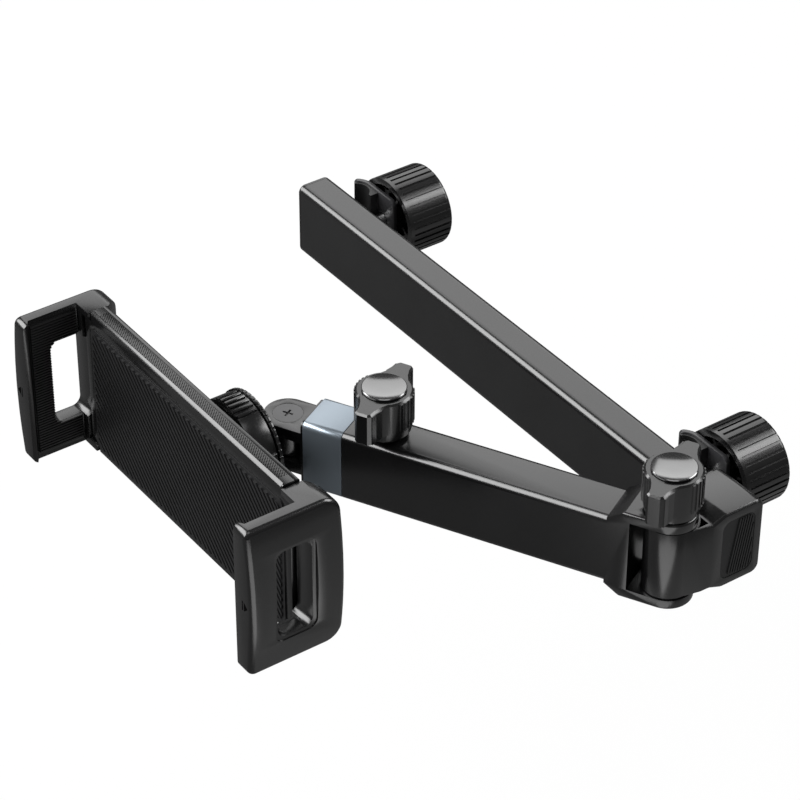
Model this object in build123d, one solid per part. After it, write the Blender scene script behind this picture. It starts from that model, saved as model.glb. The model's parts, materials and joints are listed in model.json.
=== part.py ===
from build123d import *
from math import atan2, cos, pi, radians, sin, sqrt, tan
import os

os.makedirs("parts", exist_ok=True)

# Headrest tablet mount, in millimetres.
# X runs along the rear bar to the right, Y towards the seat, Z up.
# The origin is the axis of the left headrest post at the bar's mid height.

# Fits shared by all pieces
slide_gap = 0.1
running_gap = 0.1
press_gap = 0.02
face_gap = 0.05

# Headrest posts and their spacing
post_radius = 5.0
post_to_stud = 8.2
stud_spacing = 176.5

# Rear bar
bar_height = 27.0
bar_depth = 12.7
bar_wall = 2.0
bar_corner = 2.7
bar_bore_corner = 0.8
bar_overhang = 8.8
slot_width = 8.0
cap_thickness = 1.6
cap_plug_length = 10.2

# Hinge end block at the bar's right end
stud_to_block = 11.8
block_length = 18.7
block_height = 28.0
block_back_rise = 4.8
block_corner = 3.4
block_edge = 0.7
block_shoulder = 2.7
block_slope = 4.7
block_slope_radius = 2.5
spigot_length = 6.6
block_screw_radius = 1.25
block_screw_head_radius = 2.4
block_screw_head_height = 1.4
block_screw_depth = 5.0
block_screw_height = 8.0
end_pad_width = 12.5
end_pad_height = 21.6
end_pad_corner = 3.0
end_pad_thickness = 1.2
end_pad_recess = 1.0
end_pad_from_front = 1.7
end_pad_border = 0.7
end_ridge_pitch = 1.0
end_ridge_width = 0.55
end_ridge_depth = 0.4
end_ridge_angle = 80.0

# Hinge between bar and arm
hinge_from_block_start = 8.9
hinge_to_bar_front = 10.6
barrel_radius = 7.9
barrel_height = 24.4
bracket_back = 6.0
bracket_lead = 2.0
bracket_skin = 1.8
pocket_depth = 8.0
hinge_bolt_radius = 3.0
friction_washer_thickness = 0.4
friction_washer_radius = 7.2
lug_radius = 8.2
lug_thickness = 3.4
bolt_head_radius = 5.0
bolt_head_height = 2.5
top_washer_radius = 7.4
top_washer_thickness = 0.8

# Folding arm
arm_angle = 28.0
arm_depth = 16.4
arm_height = 25.0
arm_wall = 2.0
arm_corner = 2.3
arm_bore_corner = 1.0
arm_outer_end = 105.9
arm_bore_start = 24.0
fork_throat = 9.9
fork_slope_start = 17.2
fork_slope_end = 11.6
fork_edge = 0.8

# Telescoping end of the arm
inner_wall = 1.5
inner_start = 28.0
guide_flange = 3.0
guide_plug_length = 8.0
collar_gap = 0.2
collar_length = 13.5
fork_flange = 0.8
fork_flange_step = 0.9
fork_plug_length = 14.0
pivot_from_hinge = 129.0
plate_radius = 7.7
plate_thickness = 4.0
knuckle_height = 7.8
pivot_radius = 2.5
pivot_head_radius = 4.85
pivot_head_height = 1.2
pivot_nut_flats = 8.0
pivot_nut_height = 2.6
cross_length = 3.6
cross_width = 0.75
cross_depth = 0.6

# Wing knobs
knob_height = 14.0
knob_radius = 8.5
knob_top_bevel = 0.9
wing_reach = 15.0
wing_tip_width = 5.2
wing_root_width = 11.5
wing_root_overlap = 0.4
wing_bottom = 1.0
wing_top = 12.2
wing_bevel = 0.7
serration_count = 6
serration_pitch = 9.0
serration_width = 0.8
serration_depth = 0.7
cap_radius = 7.05
cap_rim_depth = 0.8
cap_dome = 1.1
insert_wall = 1.2
insert_depth = 8.0
hinge_knob_gap = 0.2
lock_from_hinge = 95.3
lock_boss_radius = 6.2
lock_boss_height = 1.7
lock_knob_gap = 0.4
lock_screw_radius = 2.5
lock_tip_gap = 0.2

# Post clamps
slide_nut_length = 10.0
slide_nut_height = 16.0
slide_nut_thickness = 3.5
nut_chamfer = 0.3
stud_radius = 2.5
stud_end = 19.0
stud_chamfer = 0.5
jaw_height = 20.0
jaw_thickness = 1.5
jaw_pad_thickness = 0.9
jaw_pad_height = 19.0
jaw_wrap_angle = 58.0
jaw_past_stud = 6.0
jaw_corner = 2.5
cup_gap = 0.3
cup_radius = 14.6
cup_length = 17.7
cup_wall = 2.2
cup_depth = 13.0
cup_edge = 1.4
cup_rim = 1.4
cup_ridges = 36
cup_groove_width = 0.9
cup_groove_depth = 0.8
cup_ribs = 8
cup_rib_width = 1.2
cup_rib_setback = 4.0
cup_ring_radius = 9.0
hub_radius = 5.4
stud_relief = 3.0

# Knuckle and ball joint
knuckle_length = 18.3
knuckle_angle = 10.4
eye_radius = 6.8
eye_edge = 0.5
stem_radius = 3.8
ball_radius = 8.0
seat_thickness = 1.55
seat_rim_depth = 2.5
seat_ring_start = 0.5
ball_depth = 18.5
boss_radius = 15.0
boss_end = 15.8
neck_radius = 13.0
neck_end = 22.0
nut_start = 16.3
nut_end = 24.3
nut_edge = 0.45
nut_end_wall = 1.9
nut_radius = 18.0
nut_smooth_radius = 17.1
nut_mouth_radius = 8.8
nut_ridge_groups = 4
nut_ridges_in_group = 6
nut_ridge_pitch = 7.6
nut_ridge_width = 1.3
disc_radius = 17.6
disc_thickness = 1.2
disc_hole_radius = 9.2
disc_gap = 0.2
disc_teeth = 48
disc_tooth = 0.5

# Tablet holder, measured from the front pad's surface
device_height = 123.4
frame_half_length = 54.5
frame_height = 56.0
frame_front = 0.8
frame_skin = 1.6
frame_joint = 5.2
frame_back = 7.0
frame_edge = 0.9
tongue_length = 4.0
tongue_height = 49.2
tongue_gap = 0.2
front_pad_length = 110.0
front_pad_top = 22.0
front_pad_bottom = 26.0
front_pad_thickness = 1.5
front_pad_corner = 2.5
front_pad_border = 1.4
front_ridge_pitch = 2.05
front_ridge_width = 1.05
front_ridge_depth = 0.5
front_ridge_angle = 45.0
claw_height = 54.5
claw_seam = 55.0
claw_wall = 5.1
claw_lip_reach = 20.4
claw_lip_overhang = 1.2
claw_lip_thickness = 1.7
claw_back = 13.1
claw_back_at_seam = 7.6
claw_bulge = 2.4
claw_back_corner = 6.0
claw_front_corner = 2.6
claw_base_gap = 0.9
claw_outer_edge = 1.8
window_width = 15.0
window_height = 34.5
window_center = 4.2
window_rim = 1.2
window_rim_depth = 1.4
window_corner = 3.2
claw_pad_thickness = 1.0
claw_pad_recess = 0.6
claw_pad_height = 50.0
claw_pad_front = 17.0
claw_pad_back = 0.5
claw_rib_pitch = 1.02
claw_rib_width = 0.55
claw_rib_depth = 0.4
rail_thickness = 2.4
rail_end = 48.0
guide_rail_inner = 19.5
guide_rail_outer = 23.4
rack_back = 10.6
pinion_teeth = 12
pinion_pitch_radius = 5.0
pressure_angle = 25.0
tooth_addendum = 0.65
tooth_dedendum = 0.95
tooth_backlash = 0.16
pinion_hub_radius = 2.2
pin_radius = 1.2
spring_cavity_radius = 12.2
spring_outer_radius = 11.4
spring_strip = 0.35
spring_turns = 4
spring_width = 2.1
cover_screw_x = 46.0
cover_screw_z = 15.2
cover_screw_radius = 1.0
cover_screw_head_radius = 2.2
cover_screw_head_height = 1.2

# Places worked out from the sizes above
block_start = post_to_stud + stud_spacing + stud_to_block
block_end = block_start + block_length
hinge_x = block_start + hinge_from_block_start
bar_back_y = -post_radius
bar_front_y = bar_back_y - bar_depth
bar_middle_y = (bar_back_y + bar_front_y) / 2
bar_left_x = -bar_overhang
tube_left_x = bar_left_x + cap_thickness
bore_depth = bar_depth - 2 * bar_wall
bore_height = bar_height - 2 * bar_wall
block_back_y = bar_back_y + block_back_rise
hinge_y = bar_front_y - hinge_to_bar_front
lug_inner_z = barrel_height / 2 + friction_washer_thickness + 2 * face_gap
lug_outer_z = lug_inner_z + lug_thickness
hinge_knob_z = lug_outer_z + top_washer_thickness + hinge_knob_gap
lock_knob_z = arm_height / 2 + lock_boss_height + lock_knob_gap
arm_bore_depth = arm_depth - 2 * arm_wall
arm_bore_height = arm_height - 2 * arm_wall
inner_depth = arm_bore_depth - 2 * slide_gap
inner_height = arm_bore_height - 2 * slide_gap
collar_start = arm_outer_end + collar_gap
collar_end = collar_start + collar_length
plate_inner_z = knuckle_height / 2 + 2 * running_gap
plate_outer_z = plate_inner_z + plate_thickness
jaw_bore_radius = post_radius + jaw_pad_thickness
jaw_back_y = jaw_bore_radius + jaw_thickness
cup_rim_y = jaw_back_y + cup_gap
nut_bore_radius = neck_radius + running_gap
seat_radius = ball_radius + face_gap
socket_radius = seat_radius + seat_thickness + face_gap
rack_tip = pinion_pitch_radius - tooth_addendum
rack_root = pinion_pitch_radius + tooth_dedendum
rail_front = frame_front + frame_skin + 2 * running_gap
claw_inner_x = device_height / 2
claw_wall_x = claw_inner_x + claw_pad_recess
claw_outer_x = claw_inner_x + claw_wall
claw_base_x = frame_half_length + tongue_length + claw_base_gap

# Frames of the arm, the knuckle and the tablet holder
arm_place = Location((hinge_x, hinge_y, 0), (0, 0, arm_angle))
pivot_x = hinge_x - pivot_from_hinge * cos(radians(arm_angle))
pivot_y = hinge_y - pivot_from_hinge * sin(radians(arm_angle))
knuckle_place = Location((pivot_x, pivot_y, 0), (0, 0, -knuckle_angle))
ball_x = pivot_x - knuckle_length * sin(radians(knuckle_angle))
ball_y = pivot_y - knuckle_length * cos(radians(knuckle_angle))
holder_place = Location((ball_x, ball_y - ball_depth, 0))


def span_box(x_span, y_span, z_span):
    """A box given by its two ends along each axis."""
    size = [abs(span[1] - span[0]) for span in (x_span, y_span, z_span)]
    middle = [(span[0] + span[1]) / 2 for span in (x_span, y_span, z_span)]
    return Pos(*middle) * Box(*size)


def upright(radius, z_low, z_high):
    """A cylinder along Z between two heights."""
    return Pos(0, 0, (z_low + z_high) / 2) * Cylinder(radius, z_high - z_low)


def along_y(radius, y_low, y_high):
    """A cylinder along Y between two depths."""
    return Pos(0, (y_low + y_high) / 2, 0) * Rot(90, 0, 0) * Cylinder(radius, y_high - y_low)


def beam(depth, height, corner, x_low, x_high):
    """A rounded rectangular beam along X, centred on the X axis."""
    profile = Plane.YZ.offset(x_low) * RectangleRounded(depth, height, corner)
    return extrude(profile, x_high - x_low)


def plan_solid(points, z_low, z_high):
    """A polygon drawn in the XY plane and raised between two heights."""
    outline = make_face(Polyline(*points, close=True))
    return extrude(Plane.XY.offset(z_low) * outline, z_high - z_low)


def spin_about_y(points):
    """A turned solid about Y from a profile of radius and depth pairs."""
    outline = make_face(Polyline(*[(radius, depth) for radius, depth in points], close=True))
    return revolve(outline, Axis.Y)


def ridge_field(outline, pitch, width, angle):
    """Parallel strips at an angle to the sketch's X axis, cut off at an outline."""
    reach = outline.bounding_box().diagonal
    count = int(reach / 2 / pitch)
    strips = Sketch()
    for index in range(-count, count + 1):
        strips += Rot(0, 0, angle) * Pos(0, index * pitch) * Rectangle(reach, width)
    return strips & outline


# Rear bar pieces


def bar_tube():
    at_bar = Pos(0, bar_middle_y, 0)
    tube = beam(bar_depth, bar_height, bar_corner, tube_left_x, block_start)
    bore = beam(bore_depth, bore_height, bar_bore_corner, tube_left_x, block_start)
    slot = span_box((tube_left_x, block_start), (0, bar_depth), (-slot_width / 2, slot_width / 2))
    tube = at_bar * (tube - bore - slot)
    for side in (-1, 1):
        tube -= block_screw_axis(side) * along_y(block_screw_radius + press_gap, -bar_wall, 0)
    return tube


def bar_end_cap():
    at_bar = Pos(0, bar_middle_y, 0)
    face = beam(bar_depth, bar_height, bar_corner, bar_left_x, tube_left_x)
    face = fillet(face.faces().sort_by(Axis.X)[0].edges(), block_edge)
    plug = beam(
        bore_depth - 2 * face_gap,
        bore_height - 2 * face_gap,
        bar_bore_corner,
        tube_left_x,
        tube_left_x + cap_plug_length,
    )
    return at_bar * (face + plug)


def block_screw_axis(side):
    return Pos(block_start - spigot_length / 2, bar_back_y, side * block_screw_height)


def block_screws():
    group = []
    for side in (-1, 1):
        head = along_y(block_screw_head_radius, 0, block_screw_head_height)
        shank = along_y(block_screw_radius, -block_screw_depth, 0)
        slot = span_box((-block_screw_head_radius, block_screw_head_radius),
                        (block_screw_head_height - cross_depth, block_screw_head_height),
                        (-cross_width / 2, cross_width / 2))
        cross = slot + Rot(0, 90, 0) * slot
        group.append(block_screw_axis(side) * (head + shank - cross))
    return Compound(children=group)


def end_pad_outline():
    middle_y = bar_front_y + end_pad_from_front + end_pad_width / 2
    return Pos(middle_y, 0) * RectangleRounded(end_pad_width, end_pad_height, end_pad_corner)


def hinge_end_block():
    half = barrel_height / 2
    high = block_height / 2
    shoulder_y = bar_front_y + block_shoulder
    side = Polyline(
        (hinge_y, -half),
        (shoulder_y - block_slope, -half),
        (shoulder_y, -high),
        (block_back_y, -high),
        (block_back_y, high),
        (shoulder_y, high),
        (shoulder_y - block_slope, half),
        (hinge_y, half),
        close=True,
    )
    side = make_face(side)
    slopes = side.vertices().filter_by_position(Axis.X, shoulder_y - block_slope, shoulder_y)
    side = fillet(slopes, block_slope_radius)
    side = fillet(side.vertices().sort_by(Axis.X)[-2:], block_corner)
    edge_start = block_end - block_edge
    block = extrude(Plane.YZ.offset(block_start) * side, edge_start - block_start)
    block += extrude(Plane.YZ.offset(edge_start) * side, block_edge, taper=45)
    block &= plan_solid(
        [
            (block_start, bar_front_y),
            (block_start, block_back_y),
            (block_end, block_back_y),
            (block_end, bar_front_y - bracket_lead),
            (hinge_x + barrel_radius, hinge_y),
            (hinge_x, hinge_y),
            (hinge_x - bracket_back, hinge_y + bracket_back),
            (hinge_x - bracket_back, bar_front_y),
        ],
        -high,
        high,
    )
    spigot = Pos(0, bar_middle_y, 0) * beam(
        bore_depth - 2 * face_gap,
        bore_height - 2 * face_gap,
        bar_bore_corner,
        block_start - spigot_length,
        block_start,
    )
    at_hinge = Pos(hinge_x, hinge_y, 0)
    pocket = span_box(
        (hinge_x - bracket_back + bracket_skin, block_end - bracket_skin),
        (hinge_y + bracket_skin, shoulder_y - block_slope - bracket_skin / 2),
        (half - pocket_depth, half),
    )
    pocket -= at_hinge * upright(barrel_radius + bracket_skin / 2, -half, half)
    part = block + spigot + at_hinge * upright(barrel_radius, -half, half)
    part -= pocket
    part -= mirror(pocket, Plane.XY)
    part -= at_hinge * upright(hinge_bolt_radius + running_gap, -half, half)
    part -= extrude(Plane.YZ.offset(block_end - end_pad_recess) * end_pad_outline(), end_pad_recess)
    for side in (-1, 1):
        part -= block_screw_axis(side) * along_y(block_screw_radius + press_gap, -block_screw_depth, 0)
    return part


def end_pad():
    start = block_end - end_pad_recess + face_gap
    shrunk = offset(end_pad_outline(), -face_gap)
    inside = offset(end_pad_outline(), -end_pad_border)
    ridges = ridge_field(inside, end_ridge_pitch, end_ridge_width, end_ridge_angle)
    pad = extrude(Plane.YZ.offset(start) * shrunk, end_pad_thickness - end_ridge_depth)
    return pad + extrude(Plane.YZ.offset(start) * ridges, end_pad_thickness)


# Post clamp pieces, drawn about the post's axis


def slide_nut():
    inner_wall_y = bar_back_y - bar_wall - slide_gap
    half = slide_nut_length / 2
    plate = span_box(
        (post_to_stud - half, post_to_stud + half),
        (inner_wall_y - slide_nut_thickness, inner_wall_y),
        (-slide_nut_height / 2, slide_nut_height / 2),
    )
    plate = chamfer(plate.edges().filter_by(Axis.X), nut_chamfer)
    neck_half = slot_width / 2 - slide_gap
    neck = span_box(
        (post_to_stud - half, post_to_stud + half),
        (inner_wall_y, bar_back_y - face_gap),
        (-neck_half, neck_half),
    )
    bore = Pos(post_to_stud, 0, 0) * along_y(stud_radius + press_gap, bar_front_y, 0)
    return plate + neck - bore


def clamp_stud():
    start = bar_back_y - bar_wall - slide_gap - slide_nut_thickness
    stud = along_y(stud_radius, start, stud_end)
    stud = chamfer(stud.faces().sort_by(Axis.Y)[-1].edges(), stud_chamfer)
    return Pos(post_to_stud, 0, 0) * stud


def wrap_point(radius):
    """The end of the jaw's hook at a radius from the post's axis."""
    angle = radians(90 + jaw_wrap_angle)
    return (radius * cos(angle), radius * sin(angle))


def post_jaw():
    inner, outer = jaw_bore_radius, jaw_back_y
    right_x = post_to_stud + jaw_past_stud
    half_wrap = radians(90 + jaw_wrap_angle / 2)
    outline = Polyline((0, inner), (right_x, inner), (right_x, outer), (0, outer))
    outline += ThreePointArc((0, outer), (outer * cos(half_wrap), outer * sin(half_wrap)), wrap_point(outer))
    outline += Line(wrap_point(outer), wrap_point(inner))
    outline += ThreePointArc(wrap_point(inner), (inner * cos(half_wrap), inner * sin(half_wrap)), (0, inner))
    jaw = extrude(Plane.XY.offset(-jaw_height / 2) * make_face(outline), jaw_height)
    corners = jaw.faces().sort_by(Axis.X)[-1].edges().filter_by(Axis.Y)
    jaw = fillet(corners, jaw_corner)
    tips = jaw.edges().filter_by(GeomType.LINE).sort_by(Axis.Y)[:4]
    tip_corners = [edge for edge in tips if abs(edge.tangent_at(0).Z) < 0.5]
    jaw = fillet(tip_corners, jaw_thickness)
    return jaw - Pos(post_to_stud, 0, 0) * along_y(stud_radius + running_gap, 0, outer)


def jaw_pad():
    stud_side = post_to_stud - stud_radius - cup_gap
    low_y = post_radius * cos(radians(jaw_wrap_angle))
    half_wrap = radians(90 + jaw_wrap_angle / 2)
    outer = jaw_bore_radius - face_gap
    start = (post_radius * sin(radians(jaw_wrap_angle)), low_y)
    outline = ThreePointArc(start, (0, post_radius), wrap_point(post_radius))
    outline += Line(wrap_point(post_radius), wrap_point(outer))
    outline += ThreePointArc(wrap_point(outer), (outer * cos(half_wrap), outer * sin(half_wrap)), (0, outer))
    outline += Polyline((0, outer), (stud_side, outer), (stud_side, low_y), start)
    return extrude(Plane.XY.offset(-jaw_pad_height / 2) * make_face(outline), jaw_pad_height)


def cup_knob():
    """Ridged cup knob about its own axis, with the open rim at depth zero."""
    insert_radius = stud_radius + insert_wall + running_gap
    groove = Pos(cup_radius, 0) * Rectangle(2 * cup_groove_depth, cup_groove_width)
    grooves = Sketch() + [Rot(0, 0, 360 / cup_ridges * index) * groove for index in range(cup_ridges)]
    body = along_y(cup_radius, 0, cup_length)
    body = fillet(body.faces().sort_by(Axis.Y)[-1].edges(), cup_edge)
    cutter = extrude(Plane.XZ.offset(-cup_length) * grooves, cup_length - cup_rim)
    body -= cutter
    body -= along_y(cup_radius - cup_wall, 0, cup_depth)
    ring = along_y(cup_ring_radius, cup_rib_setback, cup_depth)
    ring -= along_y(cup_ring_radius - cup_rib_width, 0, cup_depth)
    half_rib = cup_rib_width / 2
    ribs = span_box((0, cup_radius - cup_wall), (cup_rib_setback, cup_depth), (-half_rib, half_rib))
    body += ring
    for index in range(cup_ribs):
        body += Rot(0, 360 / cup_ribs * index, 0) * ribs
    hub_front = jaw_back_y + face_gap - cup_rim_y
    body += along_y(hub_radius, hub_front, cup_depth)
    body -= along_y(insert_radius + press_gap, hub_front, cup_depth)
    return body - along_y(stud_radius + running_gap, 0, cup_depth + stud_relief)


def knob_insert():
    hub_front = jaw_back_y + face_gap - cup_rim_y
    sleeve = along_y(stud_radius + running_gap + insert_wall, hub_front, cup_depth)
    return sleeve - along_y(stud_radius + face_gap, hub_front, cup_depth)


knob_place = Pos(post_to_stud, cup_rim_y, 0)


# Arm pieces, drawn with the hinge at the origin and the arm along -X


def arm_tube():
    tube = beam(arm_depth, arm_height, arm_corner, -arm_outer_end, -fork_slope_end)
    plan = Circle(lug_radius) + Pos(-fork_slope_start, 0) * Rectangle(2 * fork_slope_start, arm_depth)
    plan = extrude(Plane.XY.offset(-lug_outer_z) * plan, 2 * lug_outer_z)
    half = arm_height / 2
    far = 2 * fork_slope_start
    side = make_face(
        Polyline(
            (-far, -half),
            (-fork_slope_start, -half),
            (-fork_slope_end, -lug_outer_z),
            (lug_radius, -lug_outer_z),
            (lug_radius, lug_outer_z),
            (-fork_slope_end, lug_outer_z),
            (-fork_slope_start, half),
            (-far, half),
            close=True,
        )
    )
    side = extrude(Plane.XZ.offset(-arm_depth) * side, 2 * arm_depth)
    fork = plan & side
    fork &= span_box((-fork_slope_start, lug_radius), (-arm_depth, arm_depth), (-lug_outer_z, lug_outer_z))
    ends = fork.faces().filter_by(Axis.Z).edges().filter_by(Axis.Y, reverse=True)
    fork = fillet(ends, fork_edge)
    arm = tube + fork
    arm -= span_box((-fork_throat, lug_radius), (-arm_depth, arm_depth), (-lug_inner_z, lug_inner_z))
    arm -= beam(arm_bore_depth, arm_bore_height, arm_bore_corner, -arm_outer_end, -arm_bore_start)
    arm -= upright(hinge_bolt_radius + running_gap, -lug_outer_z, lug_outer_z)
    arm -= upright(bolt_head_radius + running_gap, -lug_outer_z, bolt_head_height - lug_outer_z)
    at_lock = Pos(-lock_from_hinge, 0, 0)
    arm += at_lock * upright(lock_boss_radius, half - face_gap, half + lock_boss_height)
    insert_radius = lock_screw_radius + insert_wall + press_gap
    arm -= at_lock * upright(insert_radius, arm_bore_height / 2, half + lock_boss_height)
    return arm


def hinge_bolt():
    shank_top = hinge_knob_z + insert_depth
    head = upright(bolt_head_radius, -lug_outer_z, bolt_head_height - lug_outer_z - face_gap)
    socket = Pos(0, 0, -lug_outer_z) * extrude(RegularPolygon(bolt_head_radius / 2, 6), bolt_head_height / 2)
    shank = upright(hinge_bolt_radius, -lug_outer_z, shank_top)
    return head + shank - socket


def friction_washers():
    low = barrel_height / 2 + face_gap
    ring = upright(friction_washer_radius, low, low + friction_washer_thickness)
    ring -= upright(hinge_bolt_radius + running_gap, low, low + friction_washer_thickness)
    return Compound(children=[ring, mirror(ring, Plane.XY)])


def top_washer():
    low = lug_outer_z + face_gap
    ring = upright(top_washer_radius, low, low + top_washer_thickness)
    return ring - upright(hinge_bolt_radius + running_gap, low, low + top_washer_thickness)


def wing_knob(bore_radius):
    """Wing knob standing on height zero, with its wings along Y."""
    root = (wing_root_width / 2, sqrt(knob_radius**2 - (wing_root_width / 2) ** 2) - wing_root_overlap)
    tip = (wing_tip_width / 2, wing_reach)
    body = upright(knob_radius, 0, knob_height)
    body = chamfer(body.faces().sort_by(Axis.Z)[-1].edges(), knob_top_bevel)
    body = chamfer(body.faces().sort_by(Axis.Z)[0].edges(), knob_top_bevel / 2)
    wing = plan_solid(
        [(-root[0], root[1]), (-tip[0], tip[1]), (tip[0], tip[1]), (root[0], root[1]), (0, 0)],
        wing_bottom,
        wing_top,
    )
    edge_line = wing.faces().sort_by(Axis.Z)[-1].edges()
    outer_edges = [edge for edge in edge_line if edge.center().Y > root[1]]
    wing = chamfer(outer_edges, wing_bevel)
    tip_edges = wing.edges().filter_by(Axis.Z).sort_by(Axis.Y)[-2:]
    wing = chamfer(tip_edges, wing_bevel)
    groove = Pos(knob_radius, 0) * Rot(0, 0, 45) * Rectangle(serration_depth * 2, serration_width * 2)
    fan = Sketch()
    for index in range(serration_count):
        fan += Rot(0, 0, serration_pitch * (index - 1)) * groove
    grooves = extrude(fan, knob_height)
    knob = body + wing + Rot(0, 0, 180) * wing
    knob -= grooves
    knob -= Rot(0, 0, 180) * grooves
    knob -= upright(cap_radius + face_gap, knob_height - cap_rim_depth, knob_height)
    return knob - upright(bore_radius, 0, insert_depth)


def knob_cap():
    """Domed cap that closes the wing knob's top."""
    low = knob_height - cap_rim_depth + face_gap
    high = knob_height + cap_dome
    dome_radius = (cap_radius**2 + cap_dome**2) / (2 * cap_dome)
    dome = Pos(0, 0, high - dome_radius) * Sphere(dome_radius)
    return dome & upright(cap_radius, low, high)


def threaded_insert(hole_radius, z_low, z_high):
    sleeve = upright(hole_radius + insert_wall, z_low, z_high)
    return sleeve - upright(hole_radius + face_gap, z_low, z_high)


def lock_screw():
    """Screw moulded into the lock knob, drawn from the arm's middle plane."""
    return upright(lock_screw_radius, inner_height / 2 + lock_tip_gap, lock_knob_z + insert_depth)


# Telescoping pieces, in the arm's frame


def inner_tube():
    tube = beam(inner_depth, inner_height, arm_bore_corner, -collar_end, -inner_start)
    bore = beam(
        inner_depth - 2 * inner_wall,
        inner_height - 2 * inner_wall,
        arm_bore_corner / 2,
        -collar_end,
        -inner_start,
    )
    return tube - bore


def guide_bush():
    flange = beam(
        arm_bore_depth - 2 * face_gap,
        arm_bore_height - 2 * face_gap,
        arm_bore_corner,
        -inner_start + face_gap,
        -inner_start + guide_flange,
    )
    plug = beam(
        inner_depth - 2 * inner_wall - 2 * face_gap,
        inner_height - 2 * inner_wall - 2 * face_gap,
        arm_bore_corner / 2,
        -inner_start - guide_plug_length,
        -inner_start + face_gap,
    )
    return flange + plug


def arm_collar():
    collar = beam(arm_depth, arm_height, arm_corner, -collar_end, -collar_start)
    return collar - beam(
        inner_depth + 2 * press_gap,
        inner_height + 2 * press_gap,
        arm_bore_corner,
        -collar_end,
        -collar_start,
    )


def fork_head():
    flange_start = -collar_end - face_gap
    flange_end = flange_start - fork_flange
    flange_depth = arm_depth - fork_flange_step
    flange_height = arm_height - fork_flange_step
    flange = beam(flange_depth, flange_height, arm_corner, flange_end, flange_start)
    plug = beam(
        inner_depth - 2 * inner_wall - 2 * face_gap,
        inner_height - 2 * inner_wall - 2 * face_gap,
        arm_bore_corner / 2,
        flange_start,
        flange_start + fork_plug_length,
    )
    at_pivot = Pos(-pivot_from_hinge, 0, 0)
    reach = pivot_from_hinge - collar_end - fork_flange / 2
    plate = upright(plate_radius, -plate_outer_z, plate_outer_z)
    plate += span_box((0, reach), (-plate_radius, plate_radius), (-plate_outer_z, plate_outer_z))
    plate -= span_box(
        (-plate_radius, reach - fork_flange),
        (-plate_radius, plate_radius),
        (-plate_inner_z, plate_inner_z),
    )
    hexagon = RegularPolygon(pivot_nut_flats / 2 + press_gap, 6, major_radius=False)
    nut = extrude(
        Plane.XY.offset(-plate_outer_z) * hexagon,
        pivot_nut_height,
    )
    plate -= upright(pivot_radius + face_gap, -plate_outer_z, plate_outer_z)
    plate -= upright(pivot_head_radius + face_gap, plate_outer_z - pivot_head_height, plate_outer_z)
    plate -= nut
    return flange + plug + at_pivot * plate


def pivot_screw():
    """Cross-head screw, drawn about the pivot's axis."""
    head_low = plate_outer_z - pivot_head_height + face_gap
    head = upright(pivot_head_radius, head_low, plate_outer_z)
    shank = upright(pivot_radius, face_gap - plate_outer_z, head_low)
    slot = span_box(
        (-cross_length / 2, cross_length / 2),
        (-cross_width / 2, cross_width / 2),
        (plate_outer_z - cross_depth, plate_outer_z),
    )
    return head + shank - slot - Rot(0, 0, 90) * slot


def pivot_nut():
    low = face_gap - plate_outer_z
    high = pivot_nut_height - plate_outer_z - face_gap
    nut = extrude(
        Plane.XY.offset(low) * RegularPolygon(pivot_nut_flats / 2, 6, major_radius=False),
        high - low,
    )
    return nut - upright(pivot_radius + press_gap, low, high)


# Knuckle and ball joint pieces


def knuckle():
    """Eye, stem and ball in one piece, with the stem along -Y."""
    half = knuckle_height / 2
    eye = fillet(upright(eye_radius, -half, half).edges(), eye_edge)
    stem = along_y(stem_radius, -knuckle_length, -pivot_radius - stem_radius)
    ball = Pos(0, -knuckle_length, 0) * Sphere(ball_radius)
    return eye + stem + ball - upright(pivot_radius + running_gap, -half, half)


def ball_seat():
    """Cup under the ball, drawn in the holder's frame."""
    outer = Sphere(seat_radius + seat_thickness) - Sphere(seat_radius)
    keep = along_y(socket_radius, -socket_radius, -seat_rim_depth)
    return Pos(0, ball_depth, 0) * (outer & keep)


def seat_ring():
    low = seat_ring_start
    high = nut_end - nut_end_wall - ball_depth - 2 * face_gap
    ring = along_y(socket_radius - face_gap, low, high)
    return Pos(0, ball_depth, 0) * (ring - Sphere(seat_radius))


def ring_nut():
    inner_end = nut_end - nut_end_wall
    lip_radius = sqrt(ball_radius**2 - (inner_end - ball_depth) ** 2) + 2 * running_gap
    body = spin_about_y(
        [
            (nut_bore_radius, nut_start),
            (nut_smooth_radius, nut_start),
            (nut_smooth_radius, nut_end - nut_edge),
            (nut_smooth_radius - nut_edge, nut_end),
            (nut_mouth_radius, nut_end),
            (lip_radius, inner_end),
            (nut_bore_radius, inner_end),
        ]
    )
    ridge_height = nut_end - nut_start - 2 * nut_edge
    reach = nut_radius - nut_smooth_radius
    ridge = Pos(nut_smooth_radius + reach / 2 - face_gap, nut_start + ridge_height / 2, 0) * Box(
        reach + 2 * face_gap, ridge_height, nut_ridge_width)
    ridge = chamfer(ridge.faces().sort_by(Axis.X)[-1].edges().filter_by(Axis.Y), nut_ridge_width / 4)
    for group in range(nut_ridge_groups):
        group_angle = 360 / nut_ridge_groups * group
        for index in range(nut_ridges_in_group):
            turn = group_angle + nut_ridge_pitch * (index - (nut_ridges_in_group - 1) / 2)
            body += Rot(0, turn, 0) * ridge
    return body


def lock_disc():
    start = nut_end + disc_gap
    disc = along_y(disc_radius, start, start + disc_thickness)
    disc -= along_y(disc_hole_radius, start, start + disc_thickness)
    notch = Pos(disc_radius, start + disc_thickness / 2, 0) * Rot(0, 45, 0) * Box(
        disc_tooth, disc_thickness, disc_tooth)
    for index in range(disc_teeth):
        disc -= Rot(0, 360 / disc_teeth * index, 0) * notch
    return disc


# Tablet holder pieces, drawn from the middle of the front pad's surface


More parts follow.
